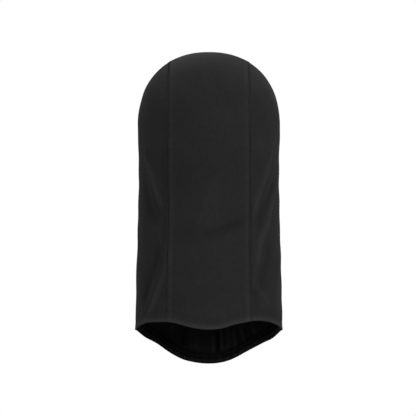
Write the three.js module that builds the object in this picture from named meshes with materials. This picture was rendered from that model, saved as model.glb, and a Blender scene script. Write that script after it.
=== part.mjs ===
// A balaclava: three fleece panels joined by flatlock seams, a turned hem, and an elastic binding
// around the face opening. Millimetres, +Z up, the wearer faces +Y, and the origin is the highest
// point inside the crown, where the top of the head touches it.
import * as THREE from 'three';

// Thicknesses of the cloth, the binding's tape, the thread and the label's tape
const fleece = 3;
const bindingCloth = 0.9;
const thread = 0.6;
const labelTape = 0.5;

// The gap that touching edges keep, and how far what lies on the outer or the inner face stands off
// it, so that the flat facets of the two stay apart
const clear = 0.3;
const outerLift = 0.5;
const innerLift = 0.8;

// The head-shaped outer surface. Every section is a superellipse with this exponent.
const squareness = 2.22;
const widestLevel = -83;
const crownRise = fleece - widestLevel;
const halfWidths = [[widestLevel, 82.5], [-132, 81.5], [-318, 85.2]];
const backDepths = [[widestLevel, 103], [-202, 82], [-316, 90]];
const frontDepths = [[widestLevel, 100], [-212, 88], [-366, 76]];

// The two long seams, as half of the centre panel's width
const seamAtCrown = 45.5;
const seamAtHem = 48;

// The face opening, a squarish oval seen from the front, and its binding: the width of its legs,
// the room that it leaves at the cloth's edge and under the cloth, and its row of stitches
const opening = { level: -135, halfWidth: 58, halfHeight: 72, squareness: 2.5 };
const chin = opening.level - opening.halfHeight;
const bindingWidth = 8;
const bindingSlack = 0.8;
const bindingUnder = 0.9;
const bindingRow = 6;

// The lower edge, by level at the centre back, its two arches, the sides and the centre front
const hem = { backCentre: -314.5, arch: -305.5, side: -320, frontCentre: -364.5, archAngle: 55 };
const hemTurn = 11;
const hemTaper = 0.5;

// Stitching: the width of a flatlock seam and of one row, the hem's rows by height above its edge,
// the looper thread that covers both, and how far the seams stop short of the binding and the hem
const seamStitchWidth = 5.6;
const rowWidth = 1.2;
const hemRows = [7, 10];
const looperWidth = 4.2;
const seamStart = { brow: 7, chin: 6 };
const seamEnd = hemTurn + 3;

// Bar tacks, between the binding and the seams' ends, and the care label
const tack = { length: 8, width: 1.8, aboveBrow: 4.5, belowChin: 3.4 };
const label = { width: 24, length: 27, aboveTurn: 4, lift: 1.5 };

// How finely the panels, the seams, the two rings, the tacks and the label are divided
const steps = { across: 8, overCrown: 20, down: 14, sideTop: 8, sideOpening: 12, sideLow: 8, around: 16 };
const fineSteps = { frontSeam: 12, opening: 64, halfHem: 36, tack: 4, labelAcross: 4, labelUp: 3 };

const looks = {
  fleece: { color: 0x262626, roughness: 0.95 },
  binding: { color: 0x1b1b1b, roughness: 0.85 },
  thread: { color: 0x303030, roughness: 0.6 },
  label: { color: 0xd8d8d4, roughness: 0.8 },
};

const degrees = Math.PI / 180;
const quarter = 90 * degrees;
const power = (value, exponent) => Math.sign(value) * Math.abs(value) ** exponent;
const smooth = (t) => t * t * (3 - 2 * t);
const mix = (from, to, t) => from + (to - from) * t;
const range = (count) => Array.from({ length: count }, (_, i) => i);

// A value that eases from knot to knot, knots going down from the widest level
function eased(level, knots) {
  const next = knots.findIndex(([z]) => z <= level);
  if (next === 0) return knots[0][1];
  if (next < 0) return knots.at(-1)[1];
  const [[top, from], [bottom, to]] = [knots[next - 1], knots[next]];
  return mix(from, to, smooth((top - level) / (top - bottom)));
}

// The share of full width and depth that is left at a level of the dome
function domeShare(level, offset) {
  const rise = Math.max(0, level - widestLevel) / (crownRise + offset);
  return Math.max(0, 1 - rise ** squareness) ** (1 / squareness);
}

const halfWidth = (level, offset) => (eased(level, halfWidths) + offset) * domeShare(level, offset);

function depth(level, facing, offset) {
  const knots = facing > 0 ? frontDepths : backDepths;
  return (eased(level, knots) + offset) * domeShare(level, offset);
}

// A point by its angle around a level: 0 at the side, 90 at the front, -90 at the back
function pointAround(side, angle, level, offset) {
  const x = halfWidth(level, offset) * power(Math.cos(angle), 2 / squareness);
  const y = depth(level, angle, offset) * power(Math.sin(angle), 2 / squareness);
  return new THREE.Vector3(side * x, y, level);
}

// A point on the front or the back by its x and its level
function pointAt(x, level, facing, offset) {
  const share = Math.max(0, 1 - Math.abs(x / halfWidth(level, offset)) ** squareness);
  return new THREE.Vector3(x, facing * depth(level, facing, offset) * share ** (1 / squareness), level);
}

// A point over the crown by its x and its lean: 0 at the top, 90 at the front, -90 at the back
function pointOverCrown(x, lean, offset) {
  const share = (1 - Math.abs(x / halfWidth(widestLevel, offset)) ** squareness) ** (1 / squareness);
  const y = depth(widestLevel, lean, offset) * share * power(Math.sin(lean), 2 / squareness);
  const z = widestLevel + (crownRise + offset) * share * power(Math.cos(lean), 2 / squareness);
  return new THREE.Vector3(x, y, z);
}

// The angle around a level at which the surface is x away from the middle plane
function angleOf(x, level, offset) {
  return Math.acos(Math.min(1, x / halfWidth(level, offset)) ** (squareness / 2));
}

// The lean at which a line over the crown, x from the middle, comes down to a level
function leanOf(x, level, offset) {
  const share = (1 - Math.abs(x / halfWidth(widestLevel, offset)) ** squareness) ** (1 / squareness);
  const rise = (level - widestLevel) / ((crownRise + offset) * share);
  return Math.acos(Math.min(1, Math.max(0, rise)) ** (squareness / 2));
}

// Half of the centre panel's width at a level
function seamHalf(level) {
  const low = Math.max(0, (widestLevel - level) / (widestLevel - hem.backCentre));
  return mix(seamAtCrown, seamAtHem, low);
}

// The lower edge's level at an angle around the neck
function hemLevel(angle) {
  const turn = angle / degrees;
  if (turn > 0) return mix(hem.side, hem.frontCentre, Math.sin(quarter * (turn / 90) ** 1.75));
  const toArch = -turn / hem.archAngle;
  if (toArch < 1) return mix(hem.side, hem.arch, Math.sin(quarter * toArch) ** 1.4);
  return mix(hem.arch, hem.backCentre, smooth((-turn - hem.archAngle) / (90 - hem.archAngle)));
}

// The opening's edge, or a line grown away from it, by the angle around the face
function openingEdge(angle, growth) {
  return {
    x: (opening.halfWidth + growth) * power(Math.cos(angle), 2 / opening.squareness),
    level: opening.level + (opening.halfHeight + growth) * power(Math.sin(angle), 2 / opening.squareness),
  };
}

// The level of the opening's upper edge, or of a line grown away from it, x from the middle
function browLevel(x, growth) {
  const share = 1 - Math.abs(x / (opening.halfWidth + growth)) ** opening.squareness;
  return opening.level + (opening.halfHeight + growth) * share ** (1 / opening.squareness);
}

// A closed geometry from its points and its faces, turned so that the faces point out
function closedGeometry(points, faces) {
  const volume = faces.reduce((sum, [a, b, c]) =>
    sum + points[a].dot(new THREE.Vector3().crossVectors(points[b], points[c])), 0);
  const outward = volume < 0 ? faces.map(([a, b, c]) => [a, c, b]) : faces;
  const geometry = new THREE.BufferGeometry().setFromPoints(points);
  geometry.setIndex(outward.flat());
  geometry.computeVertexNormals();
  return geometry;
}

const quad = (a, b, c, d) => [[a, b, c], [a, c, d]];

// A sheet with thickness, from the grids of points on its two faces
function sheet(outer, inner) {
  const rows = outer.length;
  const columns = outer[0].length;
  const points = [...outer.flat(), ...inner.flat()];
  const under = rows * columns;
  const at = (row, column) => row * columns + column;
  const faces = [];
  for (const row of range(rows - 1)) {
    for (const column of range(columns - 1)) {
      const cell = [at(row, column), at(row + 1, column), at(row + 1, column + 1), at(row, column + 1)];
      faces.push(...quad(...cell), ...quad(...cell.map((i) => i + under).reverse()));
    }
  }
  const rim = [
    ...range(columns - 1).map((i) => at(0, i)),
    ...range(rows - 1).map((i) => at(i, columns - 1)),
    ...range(columns - 1).map((i) => at(rows - 1, columns - 1 - i)),
    ...range(rows - 1).map((i) => at(rows - 1 - i, 0)),
  ];
  rim.forEach((a, i) => {
    const b = rim[(i + 1) % rim.length];
    faces.push(...quad(a, b, b + under, a + under));
  });
  return closedGeometry(points, faces);
}

// A band swept through four-sided or many-sided sections, closed on itself or capped at its ends
function band(sections, loop) {
  const sides = sections[0].length;
  const points = sections.flat();
  const faces = [];
  for (const i of range(loop ? sections.length : sections.length - 1)) {
    const next = (i + 1) % sections.length;
    for (const side of range(sides)) {
      const turn = (side + 1) % sides;
      faces.push(...quad(i * sides + side, next * sides + side, next * sides + turn, i * sides + turn));
    }
  }
  if (!loop) {
    const last = (sections.length - 1) * sides;
    for (const side of range(sides - 2)) {
      faces.push([0, side + 1, side + 2], [last, last + side + 2, last + side + 1]);
    }
  }
  return closedGeometry(points, faces);
}

function piece(name, geometry, look) {
  const material = new THREE.MeshStandardMaterial({ ...look, metalness: 0 });
  const mesh = new THREE.Mesh(geometry, material);
  mesh.name = name;
  return mesh;
}

// One face of the centre panel: from the brow over the crown and down the back to the hem
function centreFace(offset, hemOffset) {
  const rows = [];
  const columns = range(steps.across + 1).map((i) => (2 * i) / steps.across - 1);
  for (const i of range(steps.overCrown + 1)) {
    rows.push(columns.map((share) => {
      const x = share * (seamAtCrown - clear / 2);
      const brow = leanOf(x, browLevel(x, 0), offset);
      return pointOverCrown(x, mix(brow, -quarter, i / steps.overCrown), offset);
    }));
  }
  const downTo = (t, above, at) => rows.push(columns.map((share) => {
    const edge = hemLevel(-angleOf(Math.abs(share) * seamAtHem, hem.backCentre, 0));
    const level = mix(widestLevel, edge + above, t);
    return pointAt(share * (seamHalf(level) - clear / 2), level, -1, at);
  }));
  for (const i of range(steps.down)) downTo((i + 1) / steps.down, hemTurn + hemTaper, offset);
  downTo(1, hemTurn, hemOffset);
  downTo(1, 0, hemOffset);
  return rows;
}

// One row of a side panel between its back seam and its front edge
function sideRow(side, frontX, levelAt, offset) {
  return range(steps.around + 1).map((i) => {
    const t = i / steps.around;
    const guess = levelAt(mix(-quarter, quarter, t));
    const backAngle = -angleOf(seamHalf(guess) + clear / 2, guess, offset);
    const frontAngle = angleOf(frontX, guess, offset);
    const angle = mix(backAngle, frontAngle, t);
    return pointAround(side, angle, levelAt(angle), offset);
  });
}

// One face of a side panel: from the top of the seam, past the face opening, down to the hem
function sideFace(side, offset, hemOffset) {
  const rows = [];
  const seamX = seamAtCrown + clear / 2;
  const flat = (level) => () => level;
  const meeting = Math.acos((seamX / opening.halfWidth) ** (opening.squareness / 2));
  const firstLean = 8 * degrees;
  const browLean = leanOf(seamX, browLevel(seamX, 0), offset);
  for (const i of range(steps.sideTop)) {
    const lean = mix(firstLean, browLean, i / steps.sideTop);
    rows.push(sideRow(side, seamX, flat(pointOverCrown(seamX, lean, offset).z), offset));
  }
  for (const i of range(steps.sideOpening + 1)) {
    const edge = openingEdge(mix(meeting, -quarter, i / steps.sideOpening), 0);
    rows.push(sideRow(side, Math.max(edge.x, clear / 2), flat(edge.level), offset));
  }
  const downTo = (t, above, at) => rows.push(
    sideRow(side, clear / 2, (angle) => mix(chin, hemLevel(angle) + above, t), at));
  for (const i of range(steps.sideLow)) downTo((i + 1) / steps.sideLow, hemTurn + hemTaper, offset);
  downTo(1, hemTurn, hemOffset);
  downTo(1, 0, hemOffset);
  return rows;
}

// The three panels, twice as thick where the hem is turned in
function panels() {
  const fabric = (name, face) => piece(name, sheet(face(0, 0), face(-fleece, -2 * fleece)), looks.fleece);
  return [
    fabric('centre_panel', centreFace),
    fabric('left_side_panel', (offset, low) => sideFace(-1, offset, low)),
    fabric('right_side_panel', (offset, low) => sideFace(1, offset, low)),
  ];
}

// The four corners of a flat strip of stitching around a line on the surface
function strip(width, low, at) {
  const high = low + thread;
  const corners = [[width / 2, high], [width / 2, low], [-width / 2, low], [-width / 2, high]];
  return corners.map(([shift, offset]) => at(shift, offset));
}

// A ring around the opening with a section of [growth, offset] points
function openingRing(section) {
  const turns = range(fineSteps.opening).map((i) => section.map(([growth, offset]) => {
    const edge = openingEdge((i / fineSteps.opening) * 4 * quarter, growth);
    return pointAt(edge.x, edge.level, 1, offset);
  }));
  return band(turns, true);
}

// The folded elastic binding, a U-shaped section that holds the opening's edge
function faceBinding() {
  const above = outerLift;
  const below = -fleece - bindingUnder;
  const web = -bindingSlack;
  const section = [
    [bindingWidth, above + bindingCloth], [bindingWidth, above], [web, above],
    [web, below], [bindingWidth, below], [bindingWidth, below - bindingCloth],
    [web - bindingCloth, below - bindingCloth], [web - bindingCloth, above + bindingCloth],
  ];
  return piece('face_binding', openingRing(section), looks.binding);
}

// The row of stitches that holds the binding, near its outer edge
function bindingStitch() {
  const low = outerLift + bindingCloth + clear;
  const section = strip(rowWidth, low, (shift, offset) => [bindingRow + shift, offset]);
  return piece('binding_stitch', openingRing(section), looks.thread);
}

// A flatlock seam's thread, from above the brow binding over the crown to the hem
function longSeamThread(name, side, low) {
  const start = leanOf(seamAtCrown, browLevel(seamAtCrown, bindingWidth) + seamStart.brow, 0);
  const sections = range(steps.overCrown + 1).map((i) => {
    const lean = mix(start, -quarter, i / steps.overCrown);
    return strip(seamStitchWidth, low, (shift, offset) =>
      pointOverCrown(side * (seamAtCrown + shift), lean, offset));
  });
  const end = hem.arch + seamEnd;
  for (const i of range(steps.down)) {
    const level = mix(widestLevel, end, (i + 1) / steps.down);
    sections.push(strip(seamStitchWidth, low, (shift, offset) =>
      pointAt(side * (seamHalf(level) + shift), level, -1, offset)));
  }
  return piece(name, band(sections, false), looks.thread);
}

// The seam that joins the side panels below the chin
function frontSeamThread(name, low) {
  const start = chin - bindingWidth - seamStart.chin;
  const end = hem.frontCentre + seamEnd;
  const sections = range(fineSteps.frontSeam + 1).map((i) => strip(seamStitchWidth, low, (shift, offset) =>
    pointAt(shift, mix(start, end, i / fineSteps.frontSeam), 1, offset)));
  return piece(name, band(sections, false), looks.thread);
}

// A ring of stitches around the hem, a given height above its edge
function hemRing(name, height, width, low) {
  const half = range(fineSteps.halfHem + 1).map((i) => mix(-quarter, quarter, i / fineSteps.halfHem));
  const right = half.map((angle) => [1, angle]);
  const left = half.slice(1, -1).reverse().map((angle) => [-1, angle]);
  const sections = [...right, ...left].map(([side, angle]) => strip(width, low, (shift, offset) =>
    pointAround(side, angle, hemLevel(angle) + height + shift, offset)));
  return piece(name, band(sections, true), looks.thread);
}

// A short dense stitch that locks the end of a seam
function barTack(name, x, level) {
  const sections = range(fineSteps.tack + 1).map((i) => strip(tack.width, outerLift, (shift, offset) =>
    pointAt(x + (i / fineSteps.tack - 0.5) * tack.length, level + shift, 1, offset)));
  return piece(name, band(sections, false), looks.thread);
}

// The care label, a folded tape caught in the hem inside the centre back
function careLabel() {
  const bottom = hem.backCentre + hemTurn + label.aboveTurn;
  const under = -2 * fleece - label.lift;
  const face = (offset) => range(fineSteps.labelUp + 1).map((row) =>
    range(fineSteps.labelAcross + 1).map((column) => {
      const x = (column / fineSteps.labelAcross - 0.5) * label.width;
      return pointAt(x, bottom + (row / fineSteps.labelUp) * label.length, -1, offset);
    }));
  return piece('care_label', sheet(face(under), face(under - labelTape)), looks.label);
}

function stitching() {
  const outside = outerLift;
  const inside = -fleece - innerLift - thread;
  const hemInside = inside - fleece;
  const hemMiddle = (hemRows[0] + hemRows[1]) / 2;
  const browTack = browLevel(seamAtCrown, bindingWidth) + tack.aboveBrow;
  const chinTack = chin - bindingWidth - tack.belowChin;
  return [
    longSeamThread('left_seam_cover_thread', -1, outside),
    longSeamThread('right_seam_cover_thread', 1, outside),
    longSeamThread('left_seam_inner_thread', -1, inside),
    longSeamThread('right_seam_inner_thread', 1, inside),
    frontSeamThread('front_seam_cover_thread', outside),
    frontSeamThread('front_seam_inner_thread', inside),
    hemRing('hem_lower_stitch_row', hemRows[0], rowWidth, outside),
    hemRing('hem_upper_stitch_row', hemRows[1], rowWidth, outside),
    hemRing('hem_looper_thread', hemMiddle, looperWidth, hemInside),
    barTack('left_brow_bar_tack', -seamAtCrown, browTack),
    barTack('right_brow_bar_tack', seamAtCrown, browTack),
    barTack('chin_bar_tack', 0, chinTack),
  ];
}

const balaclava = new THREE.Group();
balaclava.add(...panels(), faceBinding(), bindingStitch(), ...stitching(), careLabel());

export default balaclava;
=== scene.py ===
import math
from functools import partial

import bmesh
import bpy
import numpy as np
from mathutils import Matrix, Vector


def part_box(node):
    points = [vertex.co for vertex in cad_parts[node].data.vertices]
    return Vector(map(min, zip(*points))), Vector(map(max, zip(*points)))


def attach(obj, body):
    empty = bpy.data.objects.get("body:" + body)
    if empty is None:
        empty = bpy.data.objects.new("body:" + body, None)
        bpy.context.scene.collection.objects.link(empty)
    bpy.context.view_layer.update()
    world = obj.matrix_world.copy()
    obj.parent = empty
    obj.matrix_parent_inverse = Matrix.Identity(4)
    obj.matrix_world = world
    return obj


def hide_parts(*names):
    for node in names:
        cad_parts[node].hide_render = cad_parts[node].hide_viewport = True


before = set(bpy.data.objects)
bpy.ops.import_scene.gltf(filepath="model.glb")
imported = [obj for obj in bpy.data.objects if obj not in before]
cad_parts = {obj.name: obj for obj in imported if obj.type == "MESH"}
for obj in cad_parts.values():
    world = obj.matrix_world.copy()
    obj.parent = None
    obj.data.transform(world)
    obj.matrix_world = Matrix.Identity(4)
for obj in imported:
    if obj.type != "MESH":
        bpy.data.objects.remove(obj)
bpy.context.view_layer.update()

# A three-panel fleece balaclava, stretched over a head that isn't there. Metres, +Z up, the wearer
# faces +Y, and the origin is the highest point inside the crown. Sizes of stitches and folds are
# given in millimetres and turned into metres where they are used.
MM = 0.001
QUARTER = math.pi / 2
centre_high = np.array(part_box("centre_panel")[1])
side_low = np.array(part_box("right_side_panel")[0])
binding_low, binding_high = np.array(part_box("face_binding"))

# The head-shaped surface that the cloth follows: superellipses of one exponent
FLEECE = centre_high[2]
SQUARENESS = 2.22
WIDEST = -83 * MM
CROWN_RISE = FLEECE - WIDEST
HALF_WIDTHS = [(WIDEST, 82.5 * MM), (-132 * MM, 81.5 * MM), (-318 * MM, 85.2 * MM)]
BACK_DEPTHS = [(WIDEST, 103 * MM), (-202 * MM, 82 * MM), (-316 * MM, 90 * MM)]
FRONT_DEPTHS = [(WIDEST, 100 * MM), (-212 * MM, 88 * MM), (-366 * MM, 76 * MM)]

# The long seams, as half of the centre panel's width, and the level where they end at the front.
# The CAD panels keep a gap, and these lap past the seam by a hair, so that no light shows through.
CAD_GAP = 0.3 * MM
LAP = 0.04 * MM
SEAM_AT_CROWN = 45.5 * MM
SEAM_AT_HEM = centre_high[0] + CAD_GAP / 2
SEAM_FRONT_END = -84 * MM

# The face opening, a squarish oval, its mean radius, and the width of the binding's legs
BINDING_WIDTH = 8 * MM
OPENING_RADIUS = 62 * MM
OPENING_LEVEL = (binding_low[2] + binding_high[2]) / 2
OPENING_HALF_WIDTH = binding_high[0] - BINDING_WIDTH
OPENING_HALF_HEIGHT = (binding_high[2] - binding_low[2]) / 2 - BINDING_WIDTH
OPENING_SQUARENESS = 2.5
CHIN = OPENING_LEVEL - OPENING_HALF_HEIGHT

# The lower edge's levels at the centre back, its two arches, the sides and the centre front
HEM_BACK = -314.5 * MM
HEM_ARCH = -305.5 * MM
HEM_SIDE = -320 * MM
HEM_FRONT = side_low[2]
ARCH_ANGLE = math.radians(55)

# In mm: how high the hem is turned in, its two rows of stitches above the edge, how far a seam's
# needle rows lie from its middle, the lengths of stitches, and the radii of thread
HEM_TURN = 11.5
HEM_ROWS = (7.2, 10.0)
NEEDLE = 1.5
SEAM_PITCH, HEM_PITCH, BINDING_PITCH = 2.7, 2.9, 2.6
COVER_RADIUS, LOOPER_RADIUS, TACK_RADIUS = 0.26, 0.2, 0.27

# Where the seams' threads stop: above the brow's binding, below the chin's, and above the hem
SEAM_ABOVE_BROW, SEAM_BELOW_CHIN, SEAM_ABOVE_HEM = 7 * MM, 6 * MM, 12.5 * MM

# A tack's size in mm, and how far tacks lie above the brow's binding and below the chin's
TACK_HALF_LENGTH, TACK_HALF_WIDTH, TACK_PITCH = 4.0, 1.0, 0.42
TACK_ABOVE_BROW, TACK_BELOW_CHIN = 4.5 * MM, 3.4 * MM

# How finely the panels are divided, and how strongly their columns crowd towards the edges
CENTRE_COLUMNS, CENTRE_CROWDING = 88, 0.78
SIDE_COLUMNS, SIDE_CROWDING = 138, 0.8
ROWS_OVER_CROWN, ROWS_DOWN_BACK = 150, 130
ROWS_SIDE_TOP, ROWS_SIDE_OPENING, ROWS_SIDE_LOW = 62, 96, 84
HEM_HEIGHTS = np.arange(15.0, 0.8, -0.5) * MM
ABOVE_HEM = 15.5 * MM
FOLD_STEPS, TURNED_ROWS = 8, 8


def smooth(t):
    t = np.clip(t, 0, 1)
    return t * t * (3 - 2 * t)


def rise(value, start, reach):
    """0 up to a start, and 1 from a reach above it."""
    return smooth((value - start) / reach)


def drop(value, start, reach):
    """0 down to a start, and 1 from a reach below it."""
    return smooth((start - value) / reach)


def bell(distance, width):
    """1 at no distance, and less than 0.4 beyond the width."""
    return np.exp(-((distance / width) ** 2))


def power(value, exponent):
    return np.sign(value) * np.abs(value) ** exponent


def mix(a, b, t):
    return a + (b - a) * t


def vectors(*parts):
    return np.stack(np.broadcast_arrays(*parts), axis=-1)


def unit(directions):
    return directions / np.linalg.norm(directions, axis=-1, keepdims=True)


def eased(level, knots):
    """A value that eases from knot to knot, going down from the widest level."""
    value = np.full_like(level, knots[0][1])
    for (top, start), (bottom, end) in zip(knots, knots[1:]):
        value = value + (end - start) * smooth((top - level) / (top - bottom))
    return value


def share_left(level):
    """The share of full width and depth that is left at a level of the dome."""
    height = np.maximum(0, level - WIDEST) / CROWN_RISE
    return np.maximum(0, 1 - height**SQUARENESS) ** (1 / SQUARENESS)


def half_width(level):
    return eased(level, HALF_WIDTHS) * share_left(level)


def widest_depth(level, facing):
    """The depth to the front or the back, before the dome draws it in."""
    return np.where(facing > 0, eased(level, FRONT_DEPTHS), eased(level, BACK_DEPTHS))


def depth(level, facing):
    return widest_depth(level, facing) * share_left(level)


def point_around(side, angle, level):
    """A point by its angle around a level: 0 at the side, 90 degrees at the front, -90 at the back."""
    x = side * half_width(level) * power(np.cos(angle), 2 / SQUARENESS)
    y = depth(level, angle) * power(np.sin(angle), 2 / SQUARENESS)
    return vectors(x, y, level)


def point_at(x, level, facing):
    """A point on the front or the back by its x and its level."""
    inside = np.maximum(0, 1 - np.abs(x / half_width(level)) ** SQUARENESS)
    y = facing * depth(level, np.full_like(level, facing)) * inside ** (1 / SQUARENESS)
    return vectors(x, y, level)


def crown_share(x):
    """The share of full height and depth that is left over the crown, x from the middle."""
    return (1 - np.abs(x / HALF_WIDTHS[0][1]) ** SQUARENESS) ** (1 / SQUARENESS)


def point_over_crown(x, lean):
    """A point over the crown by its x and its lean: 0 at the top, 90 degrees at the front."""
    share = crown_share(x)
    reach = np.where(lean > 0, FRONT_DEPTHS[0][1], BACK_DEPTHS[0][1])
    y = reach * share * power(np.sin(lean), 2 / SQUARENESS)
    z = WIDEST + CROWN_RISE * share * power(np.cos(lean), 2 / SQUARENESS)
    return vectors(x, y, z)


def angle_of(x, level):
    """The angle around a level at which the surface is x away from the middle plane."""
    return np.arccos(np.minimum(1, x / half_width(level)) ** (SQUARENESS / 2))


def lean_of(x, level):
    """The lean at which a line over the crown, x from the middle, comes down to a level."""
    height = np.clip((level - WIDEST) / (CROWN_RISE * crown_share(x)), 0, 1)
    return np.arccos(height ** (SQUARENESS / 2))


def seam_half(level):
    """Half of the centre panel's width at a level."""
    low = np.maximum(0, (WIDEST - level) / (WIDEST - HEM_BACK))
    return mix(SEAM_AT_CROWN, SEAM_AT_HEM, low)


def hem_level(angle):
    """The lower edge's level at an angle around the neck."""
    front = mix(HEM_SIDE, HEM_FRONT, np.sin(QUARTER * np.clip(angle / QUARTER, 0, 1) ** 1.75))
    to_arch = np.clip(-angle / ARCH_ANGLE, 0, 1)
    back = mix(HEM_SIDE, HEM_ARCH, np.sin(QUARTER * to_arch) ** 1.4)
    centre = mix(HEM_ARCH, HEM_BACK, rise(-angle, ARCH_ANGLE, QUARTER - ARCH_ANGLE))
    return np.where(angle > 0, front, np.where(to_arch < 1, back, centre))


def opening_edge(turn, growth):
    """The opening's edge, or a line grown away from it, by the angle around the face."""
    x = (OPENING_HALF_WIDTH + growth) * power(np.cos(turn), 2 / OPENING_SQUARENESS)
    rise_there = power(np.sin(turn), 2 / OPENING_SQUARENESS)
    return x, OPENING_LEVEL + (OPENING_HALF_HEIGHT + growth) * rise_there


def brow_level(x, growth=0.0):
    """The level of the opening's upper edge, or of a line grown away from it."""
    share = 1 - np.abs(x / (OPENING_HALF_WIDTH + growth)) ** OPENING_SQUARENESS
    return OPENING_LEVEL + (OPENING_HALF_HEIGHT + growth) * share ** (1 / OPENING_SQUARENESS)


def head_shape(points):
    """Below 1 inside the head-shaped surface, 1 on it, and more outside."""
    x, y, z = np.moveaxis(points, -1, 0)
    wide = np.abs(x / eased(z, HALF_WIDTHS)) ** SQUARENESS
    deep = np.abs(y / widest_depth(z, y)) ** SQUARENESS
    tall = (np.maximum(0, z - WIDEST) / CROWN_RISE) ** SQUARENESS
    return wide + deep + tall


def normals_at(points):
    """The directions straight out of the head shape, from its slopes over a small step."""
    step = 0.05 * MM
    slopes = []
    for axis in range(3):
        shift = np.zeros(3)
        shift[axis] = step
        slopes.append(head_shape(points + shift) - head_shape(points - shift))
    return unit(vectors(*slopes))


# The radius on which lengths around the cloth are measured
UNROLL = 85 * MM

# Folds and ridges of the worn cloth, each a path of (degrees around from the centre back, level in
# mm), with its width and its heights in mm at its start and its end. A negative height is a valley.
RIDGES = [
    ([(-61, -108), (-57.5, -122), (-48.3, -146.5), (-42, -168), (-35.8, -190)], 3.1, 3.0, 2.0),
    ([(-64, -138), (-54, -172), (-46, -205)], 8.0, -2.2, -2.2),
    ([(-33, -232), (-35, -246), (-38.6, -262.5), (-45.6, -288), (-52.5, -305), (-58, -318)],
     3.2, 0.6, 4.4),
    ([(-41, -214), (-46, -242), (-53.5, -268), (-60, -296)], 7.0, -2.8, -2.8),
    ([(60, -104), (53.8, -127), (45.4, -150), (38.2, -174), (35, -198)], 3.9, 2.4, 2.4),
    ([(74, -136), (56.4, -174), (50.0, -195.6), (43.2, -212), (39.4, -231), (36, -264)], 4.2, 3.0, 2.9),
    ([(64, -142), (55.8, -163), (45.6, -183), (38, -209)], 4.8, -2.4, -2.4),
    ([(56, -212), (46.5, -250), (41, -276)], 6.5, -2.1, -2.1),
    ([(33, -255), (36.7, -265), (45.7, -281), (51, -293)], 4.2, 0.9, 0.9),
    ([(74, -222), (68, -248), (63, -276), (61, -312)], 5.0, 0.8, 2.0),
    ([(36, -268), (37, -283), (36, -300)], 5.0, -1.5, -1.5),
    ([(-10, -209), (10, -204), (33, -191)], 5.0, -2.0, -2.6),
    ([(-6, -214), (2, -178), (0, -140)], 13.0, 0.9, 0.9),
]
FRONT_RIDGES = [
    ([(172, -250), (150, -249), (128, -238), (111, -222), (100, -204)], 4.4, 1.2, 2.6),
    ([(168, -262), (147, -262), (124, -252), (108, -238), (98, -222)], 5.5, -1.0, -2.4),
    ([(164, -283), (144, -281), (124, -269), (106, -252)], 4.4, 2.0, 1.8),
    ([(158, -296), (140, -294), (120, -283), (101, -268)], 6.0, -1.6, -1.2),
    ([(160, -322), (148, -321), (136, -311), (125, -295)], 5.0, 1.3, 1.1),
    ([(131, -217), (116, -206), (102, -188)], 5.0, 1.4, 1.2),
    ([(-173, -245), (-152, -246), (-130, -238), (-112, -224), (-101, -208)], 4.2, 1.0, 2.8),
    ([(-169, -257), (-148, -260), (-126, -253), (-108, -241), (-98, -228)], 5.5, -0.9, -2.5),
    ([(-158, -294), (-140, -287), (-121, -272), (-107, -257)], 4.8, 2.2, 1.4),
    ([(-152, -307), (-134, -300), (-115, -288), (-100, -273)], 6.0, -1.7, -1.0),
    ([(-172, -330), (-158, -333), (-144, -322), (-134, -306)], 5.0, 0.9, 1.3),
    ([(-132, -220), (-116, -210), (-102, -192)], 5.0, 1.1, 1.4),
]
# Puckers in the inner face above the front of the hem
PUCKERS = [
    ([(176, -328), (176, -340), (176.5, -354)], 2.0, 0.9, 1.2),
    ([(172.5, -320), (172.3, -336), (172.5, -352)], 2.2, -1.6, -1.6),
    ([(170, -320), (169.2, -336), (169, -352)], 2.2, 1.2, 1.8),
    ([(165, -318), (163.5, -334), (163, -348)], 1.8, 1.2, 0.8),
    ([(161, -322), (158.5, -334), (157, -348)], 2.0, 1.2, 2.0),
    ([(155, -318), (151, -331), (147.5, -343)], 2.0, 2.2, 1.8),
    ([(145, -314), (142, -323), (138, -332)], 2.0, 2.0, 1.6),
    ([(-170, -326), (-170, -338), (-169, -350)], 3.0, 0.5, 0.9),
    ([(-160, -318), (-160, -332), (-159, -344)], 3.5, -1.1, -0.9),
    ([(-149, -314), (-150, -324), (-148, -336)], 3.5, 0.8, 0.8),
]
# How far along a ridge it takes to reach its height, as a share of its length
RIDGE_TAPER = 0.22

# Small unevenness of the hem's level, as x, width and shift in mm. It fades out above the hem.
HEM_SHIFT_REACH = 45 * MM
HEM_SHIFTS_FRONT = [(76, 8, -2.2), (46, 16, 1.9), (-61, 9, 1.3), (-77, 7, -1.1), (-32, 12, -0.9)]
HEM_SHIFTS_BACK = [(-57, 12, -1.5), (28, 9, 1.0)]
# The left seam sways aside: level, height, x, width and shift in mm
SEAM_SWAY = (-190, 40, -46, 14, 1.3)


def curve_through(path):
    """Points along a smooth curve through a path's points."""
    knots = np.array(path, float)
    knots = np.vstack([2 * knots[0] - knots[1], knots, 2 * knots[-1] - knots[-2]])
    points = []
    for a, b, c, d in zip(knots, knots[1:], knots[2:], knots[3:]):
        for t in np.linspace(0, 1, 10, endpoint=False):
            square = (2 * a - 5 * b + 4 * c - d) * t**2
            cube = (3 * b - a - 3 * c + d) * t**3
            points.append(0.5 * (2 * b + (c - a) * t + square + cube))
    return np.array([*points, knots[-2]])


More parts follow.
